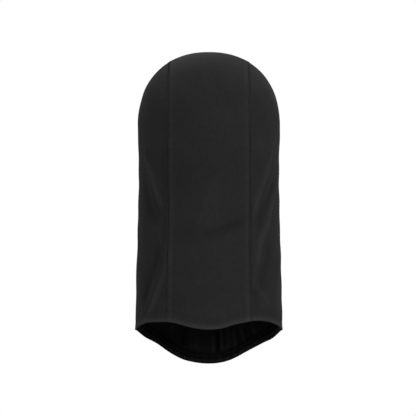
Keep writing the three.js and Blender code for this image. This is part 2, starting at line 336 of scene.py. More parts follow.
def ridge_height(place, path, width, start_height, end_height):
    """A ridge's height at places that are (distance around, level) in metres."""
    line = curve_through(path) * [math.radians(1) * UNROLL, MM]
    reach = 3 * width * MM
    near = np.all((place > line.min(0) - reach) & (place < line.max(0) + reach), axis=-1)
    first, run = line[:-1], np.diff(line, axis=0)
    local = place[near][:, None]
    along = np.clip(((local - first) * run).sum(-1) / (run**2).sum(-1), 0, 1)
    distance = np.linalg.norm(local - first - along[..., None] * run, axis=-1)
    nearest = distance.argmin(-1)
    row = np.arange(len(nearest))
    progress = (nearest + along[row, nearest]) / len(run)
    taper = rise(progress, 0, RIDGE_TAPER) * drop(progress, 1, RIDGE_TAPER)
    total = np.zeros(near.shape)
    height = mix(start_height, end_height, progress) * MM * taper
    total[near] = height * bell(distance[row, nearest], width * MM)
    return total


def slack(around, level):
    """Slow uneven swelling all over the cloth: nine waves in all directions, 26 to 70 mm long."""
    random = np.random.default_rng(11)
    total = np.zeros_like(level)
    for _ in range(9):
        wave = random.uniform(26, 70) * MM
        heading = random.uniform(0, math.pi)
        phase = random.uniform(0, 2 * math.pi)
        run = around * UNROLL * math.cos(heading) + level * math.sin(heading)
        total += np.sin(2 * math.pi * run / wave + phase)
    return 0.1 * MM * total


def wobble(along, seed, wave):
    """An uneven ripple along a line, from -1 to 1: the mean of four waves of nearly one length."""
    random = np.random.default_rng(seed)
    total = np.zeros_like(along)
    for _ in range(4):
        stretched = wave * random.uniform(0.7, 1.5)
        phase = random.uniform(0, 6.28)
        total += np.sin(2 * math.pi * along / stretched + phase)
    return total / 4


def around_level(x, y, z):
    """The surface's depth and half width at a point's level, and the point's angle there."""
    reach = np.maximum(depth(z, y), MM)
    wide = np.maximum(half_width(z), MM)
    angle = np.arctan2(power(y / reach, SQUARENESS / 2), power(np.abs(x) / wide, SQUARENESS / 2))
    return reach, wide, angle


def settled(points):
    """Points moved with the small unevenness of the hem and of the left seam."""
    x, y, z = points.T
    angle = around_level(x, y, z)[2]
    near_hem = 1 - rise(z, hem_level(angle), HEM_SHIFT_REACH)
    shift = np.zeros_like(x)
    for side, shifts in ((1, HEM_SHIFTS_FRONT), (-1, HEM_SHIFTS_BACK)):
        faces_it = rise(side * angle, -math.radians(20), math.radians(40))
        for place, width, height in shifts:
            shift = shift + faces_it * height * MM * bell(x / MM - place, width)
    level, tall, place, wide, sway = SEAM_SWAY
    aside = sway * MM * bell(z / MM - level, tall) * bell(x / MM - place, wide) * (y < 0)
    return vectors(x + aside, y, z + shift * near_hem)


def opening_growth(x, level):
    """How far the opening's edge would have to grow to reach a point, found in four steps."""
    growth = np.zeros_like(x)
    for _ in range(4):
        across = np.abs(x) / (OPENING_HALF_WIDTH + growth)
        up = np.abs(level - OPENING_LEVEL) / (OPENING_HALF_HEIGHT + growth)
        size = (across**OPENING_SQUARENESS + up**OPENING_SQUARENESS) ** (1 / OPENING_SQUARENESS)
        growth = growth + (size - 1) * (OPENING_HALF_WIDTH + growth)
        growth = np.maximum(growth, -OPENING_HALF_WIDTH / 2)
    return growth


def places(points, normal):
    """Where points lie against the seams and edges, as distances in mm, with the angle around in
    radians and the level in metres."""
    x, y, z = np.moveaxis(points, -1, 0)
    reach, wide, angle = around_level(x, y, z)
    lean = np.sqrt(np.maximum(1 - normal[..., 0] ** 2, 0.01))
    front = rise(y, 5 * MM, 10 * MM)
    place = {
        "around": np.arctan2(x / wide, -y / reach),
        "level": z,
        "seam": (seam_half(z) - np.abs(x)) / lean / MM,
        "has_seam": np.where(y > 0, rise(z, SEAM_FRONT_END, 6 * MM), 1.0),
        "front_seam": np.abs(x) / lean / MM,
        "has_front_seam": front * drop(z, CHIN, 4 * MM),
        "hem": (z - hem_level(angle)) / MM,
        "growth": opening_growth(x, z) / MM,
        "front": front,
    }
    unrolled = vectors(place["around"] * UNROLL, z)
    place["folds"] = fold_relief(place, unrolled)
    place["puckers"] = sum(ridge_height(unrolled, *pucker) for pucker in PUCKERS) / MM
    return place


# How far the seams raise the cloth or sink it, and a sunk row's width, in mm. The right seam is
# pulled the tightest.
SEAM_BAND, SEAM_ROWS, SEAM_SWELL, SEAM_RIPPLE = 0.6, -0.12, 0.08, 0.12
SEAM_DITCH_LEFT, SEAM_DITCH_RIGHT, SEAM_PULLED_ROW = -0.42, -0.9, -0.8
FRONT_SEAM_BAND, FRONT_SEAM_ROWS, FRONT_SEAM_DITCH = 0.4, -0.3, -0.5
SUNK_ROW_WIDTH = 0.45


def pulled_row(p):
    """Where the right seam's inner row of stitches is pulled tight, behind the neck."""
    return (p["around"] > 0) * bell(p["level"] / MM + 235, 50) * bell(p["seam"] - 2.0, 0.6)


def seam_relief(p):
    """A band raised on the centre panel's side of a seam, a ditch, and two sunk rows of stitches."""
    s = p["seam"]
    band = SEAM_BAND * rise(s, -0.8, 2.5) * (1 - rise(s, 3.4, 3.8))
    rows = SEAM_ROWS * (bell(s - NEEDLE, SUNK_ROW_WIDTH) + bell(s + NEEDLE, SUNK_ROW_WIDTH))
    rows = rows + SEAM_PULLED_ROW * pulled_row(p)
    deep = np.where(p["around"] > 0, SEAM_DITCH_RIGHT, SEAM_DITCH_LEFT)
    ditch = deep * bell(s + 0.4, 0.7) + SEAM_SWELL * bell(s + 5.0, 2.0)
    ripple = SEAM_RIPPLE * bell(s, 6.0) * wobble(p["level"] + p["around"] * 20 * MM, 5, 9 * MM)
    taut = mix(0.15, 1.0, drop(p["level"], -16 * MM, 130 * MM))
    return (taut * (band + rows + ditch) + ripple) * p["has_seam"]


def front_seam_relief(p):
    """Two raised bands beside the front seam, its sunk rows of stitches, and a ditch."""
    s = p["front_seam"]
    band = FRONT_SEAM_BAND * bell(s - 3.8, 1.6)
    rows = FRONT_SEAM_ROWS * bell(s - NEEDLE, SUNK_ROW_WIDTH)
    ditch = FRONT_SEAM_DITCH * bell(s, 0.6)
    return (band + rows + ditch) * p["has_front_seam"]


def sideways(p):
    """0 at the centre back and the centre front, and 1 at the sides."""
    return np.abs(np.sin(p["around"])) ** 4


def lip_flare(p):
    """The lowest 10 mm turn outward, by 2 mm at the edge, and less than half of that at the sides."""
    return (2.0 - 1.1 * sideways(p)) * np.clip(1 - p["hem"] / 10.0, 0, 1) ** 2


def hem_relief(p):
    """The doubled band at the lower edge, sunk where it is stitched, and its flaring lip."""
    h = p["hem"]
    lower, upper = HEM_ROWS
    rows = -0.15 * bell(h - lower, 0.6) - 0.3 * bell(h - upper, 1.0)
    ripple = 0.18 * bell(h - upper, 4.0) * wobble(p["around"] * UNROLL, 3, 11 * MM)
    return lip_flare(p) + rows + ripple


def along_opening(p):
    """How far along the opening's edge a place is."""
    turn = np.arctan2(p["level"] - OPENING_LEVEL, np.sin(p["around"]) * OPENING_HALF_WIDTH)
    return turn * OPENING_RADIUS


def opening_relief(p):
    """Cloth gathered by the elastic binding, and pressed flat under it."""
    g = p["growth"]
    beside = rise(g, 7, 2) * bell(g - 8, 9.0)
    gather = 0.45 * beside * wobble(along_opening(p), 8, 9 * MM)
    pressed = 0.35 * (1 - rise(g, 8, 3))
    return (gather - pressed) * p["front"]


def fold_relief(p, unrolled):
    """The folds and the slack in mm, calmer along the seams, at the crown and near the hem."""
    folds = slack(p["around"], p["level"]) * drop(p["level"], -10 * MM, 35 * MM)
    for ridge in RIDGES + FRONT_RIDGES:
        folds = folds + ridge_height(unrolled, *ridge)
    calm = np.where(p["has_seam"] > 0.5, mix(0.5, 1.0, rise(np.abs(p["seam"]), 0, 3.0)), 1.0)
    return folds / MM * calm * rise(p["hem"], -9, 30)


def outer_relief(p):
    """How far the outer face stands off the head shape, in mm."""
    return p["folds"] + seam_relief(p) + front_seam_relief(p) + hem_relief(p) + opening_relief(p)


# How much painted light the outer fleece gains: painted highlight per mm of a crest and painted shade
# per mm of a hollow, painted highlight on a seam's raised band, painted shade in a row that is pulled
# tight, painted highlight at the hem's lip, and painted shade on the left seam's outer side
TONE_CREST, TONE_HOLLOW = 0.13, 0.07
TONE_SEAM, TONE_PULLED_ROW, TONE_LIP, TONE_LEFT_SEAM = 0.18, -0.45, 0.62, -0.13


def brightness(p):
    """Painted light on the outer fleece: painted highlights on fold crests, a seam's raised band and
    the hem's lip, and painted shade in hollows, in a pulled row and beside the left seam.
    """
    # painted highlight on fold crests, and painted shade in their hollows
    crests = TONE_CREST * np.clip(p["folds"], 0, 2.5) + TONE_HOLLOW * np.clip(p["folds"], -2.5, 0)
    # painted highlight on a seam's raised band, and painted shade in the pulled row
    seams = TONE_SEAM * bell(p["seam"] - 4.2, 2.4) + TONE_PULLED_ROW * pulled_row(p)
    # painted highlight along the hem's lip
    lip = TONE_LIP * (1 - rise(p["hem"], 0, 8.0))
    # painted shade beside the left seam's outer side
    beside_left = (p["around"] < 0) * bell(p["level"] / MM + 140, 100) * bell(p["seam"] + 5.0, 6.0)
    return 1 + crests + p["has_seam"] * seams + lip + TONE_LEFT_SEAM * beside_left


def inner_brightness(p):
    """Painted shade on the inner fleece: darkest at the lip and more so at the sides, lighter further
    up, with painted highlights on its puckers' crests and painted shade between them.
    """
    # painted highlight on the puckers' crests, and painted shade in their hollows
    puckers = np.clip(1 + 0.55 * p["puckers"], 0.3, 2.0)
    worn = 1 + 0.5 * wobble(p["around"] * UNROLL, 9, 7 * MM)
    # painted shade at the lip, darker at the sides, with a random mottle
    lip = (0.42 - 0.28 * sideways(p)) * worn
    # the painted shade lifts further up the inside
    above = 0.8 * rise(p["hem"], 6.0, 12.0)
    far_above = 1.4 * rise(p["hem"], 50, 50)
    return (lip + above + far_above) * puckers


# The cloth's thickness, what the turned hem adds to it, what its lip loses again, and how far the
# inner face stands out beside a seam, in mm
CLOTH, TURNED_CLOTH, THIN_LIP, INNER_SEAM = 2.8, 1.9, 1.6, 0.5


def inner_relief(p):
    """How far the inner face stands off the head shape, in mm, and below 0 where it lies under it.
    The turned hem is doubled, and it thins towards its lip."""
    turned = 1 - rise(p["hem"], HEM_TURN, 1.2)
    lip = lip_flare(p) + THIN_LIP * (1 - rise(p["hem"], 0, 6.0))
    seams = -INNER_SEAM * bell(np.abs(p["seam"]) - 3.0, 1.4) * p["has_seam"]
    seams = seams - INNER_SEAM * bell(p["front_seam"] - 3.0, 1.4) * p["has_front_seam"]
    pressed = 0.25 * (1 - rise(p["growth"], 8, 3)) * p["front"]
    flat = p["folds"] - CLOTH - TURNED_CLOTH * turned
    return flat + lip + seams * (1 - turned) + pressed - p["puckers"]


def crowded(count, strength):
    """Numbers from 0 to 1, closer together at both ends."""
    t = np.linspace(0, 1, count + 1)
    return t - strength * np.sin(2 * math.pi * t) / (2 * math.pi)


def centre_rows():
    """The centre panel's points, from the brow over the crown and down the back to the hem, and its
    row of points as a function of the height above the hem's edge."""
    share = 2 * crowded(CENTRE_COLUMNS, CENTRE_CROWDING) - 1
    x = share * (SEAM_AT_CROWN + LAP)
    brow = lean_of(np.abs(x), brow_level(x))
    edge = hem_level(-angle_of(np.abs(share) * SEAM_AT_HEM, np.full_like(share, HEM_BACK)))
    over = np.linspace(0, 1, ROWS_OVER_CROWN)
    down = np.linspace(0, 1, ROWS_DOWN_BACK + 1)[1:]

    def across(level):
        return point_at(share * (seam_half(level) + LAP), level, -1)

    def at_height(height):
        return across(edge + height)

    rows = [point_over_crown(x, mix(brow, -QUARTER, t)) for t in over]
    rows += [across(mix(WIDEST, edge + ABOVE_HEM, t)) for t in down]
    rows += [at_height(height) for height in HEM_HEIGHTS]
    return np.array(rows), at_height


def side_rows(side):
    """A side panel's points, from the top of its seam, past the opening, down to the hem, and its
    row of points as a function of the height above the hem's edge."""
    spread = crowded(SIDE_COLUMNS, SIDE_CROWDING)

    def across(front_x, level_at):
        guess = level_at(mix(-QUARTER, QUARTER, spread))
        back = -angle_of(seam_half(guess) - LAP, guess)
        angle = mix(back, angle_of(front_x, guess), spread)
        return point_around(side, angle, level_at(angle))

    def level_row(front_x, level):
        return across(front_x, lambda angle: np.full_like(angle, level))

    def low_row(share, above):
        return across(0, lambda angle: mix(CHIN, hem_level(angle) + above, share))

    seam_x = SEAM_AT_CROWN - LAP
    meeting = math.acos((seam_x / OPENING_HALF_WIDTH) ** (OPENING_SQUARENESS / 2))
    first_lean = math.radians(0.8)
    brow_lean = lean_of(seam_x, brow_level(seam_x))
    rows = []
    for lean in np.linspace(first_lean, brow_lean, ROWS_SIDE_TOP, endpoint=False):
        rows.append(level_row(seam_x, point_over_crown(seam_x, lean)[2]))
    for turn in np.linspace(meeting, -QUARTER, ROWS_SIDE_OPENING):
        x, level = opening_edge(turn, 0.0)
        rows.append(level_row(max(x, 0), level))
    rows += [low_row(share, ABOVE_HEM) for share in np.linspace(0, 1, ROWS_SIDE_LOW + 1)[1:]]
    rows += [low_row(1, height) for height in HEM_HEIGHTS]
    return np.array(rows), partial(low_row, 1)


def new_piece(node, suffix, points, faces, material, attribute=None):
    """A smooth mesh piece that stands for a CAD node. Its material reads the attribute, a name and
    a vector for each point."""
    name = node + suffix
    mesh = bpy.data.meshes.new(name)
    mesh.from_pydata(settled(points.reshape(-1, 3)).tolist(), [], faces)
    turned = bmesh.new()
    turned.from_mesh(mesh)
    bmesh.ops.recalc_face_normals(turned, faces=turned.faces)
    turned.to_mesh(mesh)
    turned.free()
    mesh.shade_smooth()
    mesh.materials.append(material)
    if attribute:
        title, values = attribute
        made = mesh.attributes.new(title, "FLOAT_VECTOR", "POINT")
        made.data.foreach_set("vector", values.ravel())
    piece = bpy.data.objects.new(name, mesh)
    bpy.context.scene.collection.objects.link(piece)
    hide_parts(node)
    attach(piece, "root")
    return piece


def shell_faces(count, columns, capped):
    """Faces around closed loops of points side by side, capped at both ends or joined in a ring."""
    index = np.arange(count * columns).reshape(count, columns)
    if not capped:
        index = np.concatenate([index, index[:, :1]], axis=1)
    after = np.roll(index, -1, axis=0)
    faces = [np.stack([index[:, :-1], after[:, :-1], after[:, 1:], index[:, 1:]], -1).reshape(-1, 4)]
    opposite = index[::-1]
    step = np.arange(count // 2 - 1)
    for column in (0, columns - 1) if capped else ():
        near = [index[step, column], index[step + 1, column]]
        far = [opposite[step + 1, column], opposite[step, column]]
        faces.append(np.stack(near + far, -1))
    return np.concatenate(faces).tolist()


def panel_points(rows, at_height, normal, where):
    """A panel's outer face, the rounded fold at the hem's edge, and its inner face, as loops."""
    out = outer_relief(where)[..., None] * MM
    under = inner_relief(where)[..., None] * MM
    middle, half = (out[-1] + under[-1]) / 2, (out[-1] - under[-1]) / 2
    fold = []
    for angle in np.linspace(0, math.pi, FOLD_STEPS + 2)[1:-1]:
        base = at_height(HEM_HEIGHTS[-1] * (1 - math.sin(angle)))
        fold.append(base + normals_at(base) * (middle + half * math.cos(angle)))
    return np.concatenate([rows + normal * out, np.array(fold), (rows + normal * under)[::-1]])


def panel_painted_light(where):
    """The painted light at a panel's points, with painted shade darkening quickly over the fold."""
    outer = brightness(where)
    inner = inner_brightness(where)
    # painted shade darkening over the fold from the outer face's tone to the inner face's
    fold = [mix(outer[-1], inner[-1], rise(i / FOLD_STEPS, 0, 1 / 2.4)) for i in range(FOLD_STEPS)]
    painted_light = np.concatenate([outer, fold, inner[::-1]])
    return vectors(painted_light, 0.0, 0.0)


def panel(node, rows, at_height, materials):
    """A panel with thickness, with the darker copy of the fleece on its inner face above the turned
    hem: painted shade.
    """
    normal = normals_at(rows)
    where = places(rows, normal)
    points = panel_points(rows, at_height, normal, where)
    count, columns = points.shape[:2]
    faces = shell_faces(count, columns, capped=True)
    painted_light = ("painted_light", panel_painted_light(where))
    piece = new_piece(node, "_cloth", points, faces, materials["fleece"], painted_light)
    # the inner face above the turned hem takes the darker copy of the fleece: painted shade
    piece.data.materials.append(materials["shaded_inside"])
    shaded_inside = np.zeros(len(faces), int)
    first = len(rows) + FOLD_STEPS + TURNED_ROWS
    shaded_inside[first * (columns - 1) : (count - 1) * (columns - 1)] = 1
    piece.data.polygons.foreach_set("material_index", shaded_inside)
    piece.data.set_sharp_from_angle(angle=math.radians(50))
    return piece


def run_along(line):
    """How far along a line each of its points is."""
    return np.concatenate([[0], np.cumsum(np.linalg.norm(np.diff(line, axis=0), axis=1))])


def walk(line, distances):
    """Points at given distances along a line of points."""
    run = run_along(line)
    return np.stack([np.interp(distances, run, line[:, axis]) for axis in range(3)], axis=-1)


def length_of(line):
    return np.linalg.norm(np.diff(line, axis=0), axis=1).sum()


def lifted(base, relief, lift):
    """Points a height in mm above a relief on the head shape, and the directions away from it."""
    normal = normals_at(base)
    height = relief(places(base, normal)) + lift
    return base + normal * (height[..., None] * MM), normal


def on_outside(base, lift):
    return lifted(base, outer_relief, lift)


def on_inside(base, lift):
    points, normal = lifted(base, inner_relief, -lift)
    return points, -normal


def on_binding(base, lift):
    return lifted(base, binding_relief, BINDING_TOP + BINDING_TAPE / 2 + lift)


def tubes(strands, normals, radius):
    """Closed tubes along strands of points. Gives points, faces, and for each point how far along
    its strand it is in mm, with the cosine and sine of its place around it."""
    sides = 6
    along = unit(np.gradient(strands, axis=1))
    across = unit(np.cross(along, normals))
    up = np.cross(across, along)
    angle = np.arange(sides) * 2 * math.pi / sides
    count, steps = strands.shape[:2]
    taper = np.ones(steps)
    taper[[0, -1]] = 0.45
    ring = up[:, :, None] * np.cos(angle)[:, None] + across[:, :, None] * np.sin(angle)[:, None]
    points = strands[:, :, None] + ring * (radius * MM * taper)[:, None, None]
    lengths = np.linalg.norm(np.diff(strands, axis=1), axis=-1)
    run = np.concatenate([np.zeros((count, 1)), lengths.cumsum(1)], 1)
    twist = vectors((run / MM)[:, :, None], np.cos(angle), np.sin(angle))
    index = np.arange(count * steps * sides).reshape(count, steps, sides)
    turned = np.roll(index, -1, axis=2)
    quads = np.stack([index[:, :-1], index[:, 1:], turned[:, 1:], turned[:, :-1]], -1).reshape(-1, 4)
    faces = quads.tolist() + index[:, 0].tolist() + index[:, -1].tolist()
    return points.reshape(-1, 3), faces, twist.reshape(-1, 3)


def joined(parts):
    """Several sets of points, faces and twists as one."""
    points, faces, twist = zip(*parts)
    starts = np.cumsum([0, *map(len, points[:-1])]).tolist()
    faces = [[i + start for i in face] for start, part in zip(starts, faces) for face in part]
    return np.concatenate(points), faces, np.concatenate(twist)


def stitches(line, cover, pitch, seed):
    """A row of separate stitches, each arched over the cloth with its ends sunk in."""
    random = np.random.default_rng(seed)
    count = int(length_of(line) / (pitch * MM))
    t = np.linspace(0, 1, 7)
    starts = np.arange(count) * pitch + random.uniform(-0.12, 0.12, count)
    spans = pitch * random.uniform(0.84, 0.93, count)
    base = walk(line, (starts[:, None] + spans[:, None] * t) * MM)
    lift = random.uniform(0.2, 0.34, count)[:, None] * np.sin(math.pi * t) ** 0.7 - 0.2
    return tubes(*cover(base, lift), COVER_RADIUS)


def zigzag(left, right, cover, pitch, lift):
    """One thread that crosses between two lines, once in each pitch."""
    count = int(length_of(left) / (pitch * MM))
    t = np.linspace(0, 1, count * 8 + 1)
    swing = np.abs((t * count) % 2 - 1)[:, None]
    base = mix(walk(left, t * length_of(left)), walk(right, t * length_of(right)), smooth(swing))
    return tubes(*cover(base[None], np.full((1, len(t)), lift)), LOOPER_RADIUS)


def long_seam_line(side, shift):
    """A line beside a long seam, from above the brow binding over the crown to the hem."""
    start = lean_of(SEAM_AT_CROWN, brow_level(SEAM_AT_CROWN, BINDING_WIDTH) + SEAM_ABOVE_BROW)
    lean = np.linspace(start, -QUARTER, 260)
    over = point_over_crown(side * (SEAM_AT_CROWN + shift * MM), lean)
    level = np.linspace(WIDEST, HEM_ARCH + SEAM_ABOVE_HEM, 260)[1:]
    return np.concatenate([over, point_at(side * (seam_half(level) + shift * MM), level, -1)])


def front_seam_line(shift):
    """A line beside the front seam, from below the chin's binding down to the hem."""
    level = np.linspace(CHIN - BINDING_WIDTH - SEAM_BELOW_CHIN, HEM_FRONT + SEAM_ABOVE_HEM, 200)
    return point_at(np.full_like(level, shift * MM), level, 1)


def hem_line(height):
    """A closed line around the hem, a height in mm above its edge."""
    half = np.radians(np.linspace(-90, 90, 361))
    sides = []
    for side, angle in ((1, half), (-1, half[::-1])):
        sides.append(point_around(side, angle, hem_level(angle) + height * MM))
    return np.concatenate([sides[0], sides[1][1:]])


def opening_line(growth):
    """A closed line around the opening, a growth in mm away from its edge."""
    x, level = opening_edge(np.linspace(0, 2 * math.pi, 721), growth * MM)
    return point_at(x, level, 1)


def thread_piece(node, parts, material):
    points, faces, twist = parts
    return new_piece(node, "_strands", points, faces, material, ("twist", twist))


def seam_thread(name, line, cover, seed, material):
    """A flatlock seam's two needle rows and the thread that crosses between them."""
    left, right = line(-NEEDLE), line(NEEDLE)
    rows = [
        stitches(left, cover, SEAM_PITCH, seed),
        stitches(right, cover, SEAM_PITCH, seed + 1),
    ]
    cross = zigzag(left, right, cover, SEAM_PITCH / 2, 0.1)
    return thread_piece(name, joined([*rows, cross]), material)


def seam_threads(materials):
    # the inside thread is a darker copy of the thread: painted shade
    outside, inside = materials["thread"], materials["thread_inside_painted_shade"]
    seams = [
        ("left_seam", partial(long_seam_line, -1), 20, 30),
        ("right_seam", partial(long_seam_line, 1), 21, 31),
        ("front_seam", front_seam_line, 40, 50),
    ]
    made = []
    for name, line, seed, inner_seed in seams:
        made.append(seam_thread(name + "_cover_thread", line, on_outside, seed, outside))
        made.append(seam_thread(name + "_inner_thread", line, on_inside, inner_seed, inside))
    return made


def hem_threads(materials):
    lower, upper = HEM_ROWS
    made = []
    for name, height, seed in (("hem_lower", lower, 60), ("hem_upper", upper, 61)):
        row = stitches(hem_line(height), on_outside, HEM_PITCH, seed)
        made.append(thread_piece(name + "_stitch_row", row, materials["thread"]))
    looper = zigzag(hem_line(lower), hem_line(upper), on_inside, HEM_PITCH / 2, 0.15)
    made.append(thread_piece("hem_looper_thread", looper, materials["thread_inside_painted_shade"]))
    return made


def bar_tack(name, x, level, material):
    """Short threads side by side that lock the end of a seam."""
    random = np.random.default_rng(7)
    t = np.linspace(0, 1, 7)
    place = x + np.arange(-TACK_HALF_LENGTH, TACK_HALF_LENGTH, TACK_PITCH) * MM
    reach = TACK_HALF_WIDTH * MM * random.uniform(0.85, 1.1, len(place))
    levels = level + reach[:, None] * (2 * t - 1)
    base = point_at(np.broadcast_to(place[:, None], levels.shape), levels, 1)
    lift = np.broadcast_to(0.75 * np.sin(math.pi * t) ** 0.5 - 0.1, levels.shape)
    return thread_piece(name, tubes(*on_outside(base, lift), TACK_RADIUS), material)


def bar_tacks(material):
    brow = brow_level(SEAM_AT_CROWN, BINDING_WIDTH) + TACK_ABOVE_BROW
    chin = CHIN - BINDING_WIDTH - TACK_BELOW_CHIN
    return [
        bar_tack("left_brow_bar_tack", -SEAM_AT_CROWN, brow, material),
        bar_tack("right_brow_bar_tack", SEAM_AT_CROWN, brow, material),
        bar_tack("chin_bar_tack", 0.0, chin, material),
    ]


# The binding's section in mm: its tape's thickness, the offsets of its two legs, where the bend
# begins and how far it reaches, and its row of stitches
BINDING_TAPE, BINDING_TOP, BINDING_UNDER = 0.8, 0.32, -3.42
BINDING_BEND, BINDING_REACH, BINDING_ROW = 0.6, 1.9, 6.0


def binding_relief(p):
    """The binding follows the cloth's folds, with small puckers of its own."""
    return p["folds"] + 0.14 * wobble(along_opening(p), 15, 6 * MM)


def ribbon_section(place, height, thick):
    """A tape's cross-section around its middle line, and how far along it each point is."""
    line = vectors(np.concatenate(place), np.concatenate(height))
    along = np.gradient(line, axis=0)
    side = unit(vectors(along[:, 1], -along[:, 0]))
    taper = np.ones(len(line))
    taper[[0, -1]] = 0.35
    taper[[1, -2]] = 0.85
    edge = side * (thick / 2 * taper)[:, None]
    run = run_along(line)
    return np.concatenate([line + edge, (line - edge)[::-1]]), np.concatenate([run, run[::-1]])


def binding_section():
    """The tape folded around the opening's edge, as (growth, offset) in mm."""
    width = BINDING_WIDTH / MM
    leg = np.linspace(width, BINDING_BEND, 20)
    swell = 0.16 * np.sin(math.pi * (leg - BINDING_BEND) / (width - BINDING_BEND))
    swell = swell - 0.2 * bell(leg - BINDING_ROW, 0.7)
    bend = np.linspace(QUARTER, -QUARTER, 12)[1:-1]
    middle, half = (BINDING_TOP + BINDING_UNDER) / 2, (BINDING_TOP - BINDING_UNDER) / 2
    growth = [leg, BINDING_BEND - BINDING_REACH * np.cos(bend), leg[::-1]]
    offset = [BINDING_TOP + swell, middle + half * np.sin(bend), BINDING_UNDER - swell[::-1]]
    return ribbon_section(growth, offset, BINDING_TAPE)


def face_binding(material):
    """The folded elastic tape around the opening."""
    section, across = binding_section()
    turn = np.linspace(0, 2 * math.pi, 400, endpoint=False)
    x, level = opening_edge(turn, section[:, :1] * MM)
    points, _ = lifted(point_at(x, level, 1), binding_relief, section[:, 1:])
    mean_radius = 66.0
    weave = vectors(turn * mean_radius, across[:, None], 0.0)
    faces = shell_faces(*points.shape[:2], capped=False)
    return new_piece("face_binding", "_tape", points, faces, material, ("weave", weave))


def binding_stitch(material):
    row = stitches(opening_line(BINDING_ROW), on_binding, BINDING_PITCH, 70)
    return thread_piece("binding_stitch", row, material)


# The care label in mm: its size, its tape's thickness, how high above the hem's edge it starts, and
# how far its two layers lie off the cloth
LABEL_LENGTH, LABEL_HALF_WIDTH, LABEL_TAPE, LABEL_START = 26, 12, 0.24, 14
LABEL_LAYERS = (0.2, 1.0)


def label_section():
    """The label's tape, folded over at its top, as (height, lift) in mm."""
    near, far = LABEL_LAYERS
    middle, half = (near + far) / 2, (far - near) / 2
    leg = np.linspace(0, LABEL_LENGTH, 30)
    bend = np.linspace(-QUARTER, QUARTER, 8)[1:-1]
    height = [leg, LABEL_LENGTH + half * np.cos(bend), leg[::-1]]
    lift = [np.full_like(leg, near), middle + half * np.sin(bend), np.full_like(leg, far)]
    return ribbon_section(height, lift, LABEL_TAPE)[0]


def care_label(material):
    """A folded tape caught in the turned hem inside the centre back, curling off the cloth."""
    section = label_section()
    height, lift = section[:, :1], section[:, 1:]
    across = np.linspace(-LABEL_HALF_WIDTH, LABEL_HALF_WIDTH, 25) * MM
    curl = height / LABEL_LENGTH * (0.8 + 0.5 * (across / across[-1]) ** 2)
    level = HEM_BACK + (LABEL_START + height) * MM
    x, level, lift = np.broadcast_arrays(across, level, lift + curl)
    points, _ = on_inside(point_at(x, level, -1), lift)
    faces = shell_faces(*lift.shape, capped=True)
    return new_piece("care_label", "_tape", points, faces, material)


def grey(value):
    return (value, value, value)


class Shader:
    """A material, with short ways to add nodes. Each gives the output that the next one takes."""

    def __init__(self, name, colour, roughness, specular=0.14):
        self.material = bpy.data.materials.new(name)
        self.material.use_nodes = True
        self.surface = self.material.node_tree.nodes["Principled BSDF"]
        self.surface.inputs["Base Color"].default_value = (*colour, 1)
        self.surface.inputs["Roughness"].default_value = roughness
        self.surface.inputs["Specular IOR Level"].default_value = specular

    def link(self, output, node, name):
        self.material.node_tree.links.new(output, node.inputs[name])

    def add(self, kind, links, values=()):
        """A new node, with outputs linked to its inputs, and with constant values on others."""
        node = self.material.node_tree.nodes.new("ShaderNode" + kind)
        for name, output in links.items():
            self.link(output, node, name)
        for name, value in dict(values).items():
            node.inputs[name].default_value = value
        return node

    def finish(self, colour, normal):
        self.link(colour, self.surface, "Base Color")
        self.link(normal, self.surface, "Normal")
        return self.material

    def places(self):
        """Places in the object's own frame, in metres."""
        return self.add("TexCoord", {}).outputs["Object"]

    def attribute(self, name):
        node = self.add("Attribute", {})
        node.attribute_name = name
        return node.outputs["Vector"]

    def components(self, name):
        return self.add("SeparateXYZ", {"Vector": self.attribute(name)}).outputs

    def maths(self, operation, *outputs, by=None):
        """A calculation on one or two outputs, or on one and a constant."""
        node = self.add("Math", dict(enumerate(outputs)))
        node.operation = operation
        if by is not None:
            node.inputs[1].default_value = by
        return node.outputs[0]

    def noise(self, source, scale, detail, stretch=(1, 1, 1)):
        """A noise texture over places, stretched along the axes."""
        mapping = self.add("Mapping", {"Vector": source}, {"Scale": stretch})
        values = {"Scale": scale, "Detail": detail}
        return self.add("TexNoise", {"Vector": mapping.outputs["Vector"]}, values).outputs["Fac"]

    def stripes(self, source, direction, scale, distortion=0.0):
        """Even stripes across a direction."""
        wave = self.add("TexWave", {"Vector": source}, {"Scale": scale, "Distortion": distortion})
        wave.bands_direction = direction
        return wave.outputs["Fac"]

    def ramp(self, source, *stops):
        """Colours along a value. Each of the two stops is (value, colour)."""
        node = self.add("ValToRGB", {"Fac": source})
        for element, (value, colour) in zip(node.color_ramp.elements, stops):
            element.position = value
            element.color = (*colour, 1)
        return node.outputs["Color"]

    def bump(self, height, distance, strength, before=None):
        """A surface direction that a height tilts, on top of another bump if there is one."""
        links = {"Height": height} if before is None else {"Height": height, "Normal": before}
        return self.add("Bump", links, {"Distance": distance, "Strength": strength}).outputs["Normal"]


def mottle_and_painted_light(shader, where, dark, light):
    """A mottled grey, scaled by the painted light at each point of the cloth: painted highlights and
    painted shade.
    """
    mottle = shader.noise(where, scale=260, detail=8.0, stretch=(1, 1, 0.7))
    tone = shader.ramp(mottle, (0.25, grey(dark)), (0.75, grey(light)))
    scaled = shader.add("VectorMath", {"Vector": tone})
    scaled.operation = "SCALE"
    shader.link(shader.components("painted_light")["X"], scaled, "Scale")
    return scaled.outputs["Vector"]


def nap_bumps(shader, where):
    """Soft tufts, faint upright ribs and the fine ends of the nap."""
    tufts = shader.noise(where, scale=320, detail=3.0)
    ribs = shader.noise(where, scale=900, detail=2.0, stretch=(1, 1, 0.12))
    ends = shader.noise(where, scale=1500, detail=4.0)
    normal = shader.bump(tufts, distance=0.25 * MM, strength=0.5)
    normal = shader.bump(ribs, distance=0.12 * MM, strength=0.5, before=normal)
    return shader.bump(ends, distance=0.14 * MM, strength=0.7, before=normal)


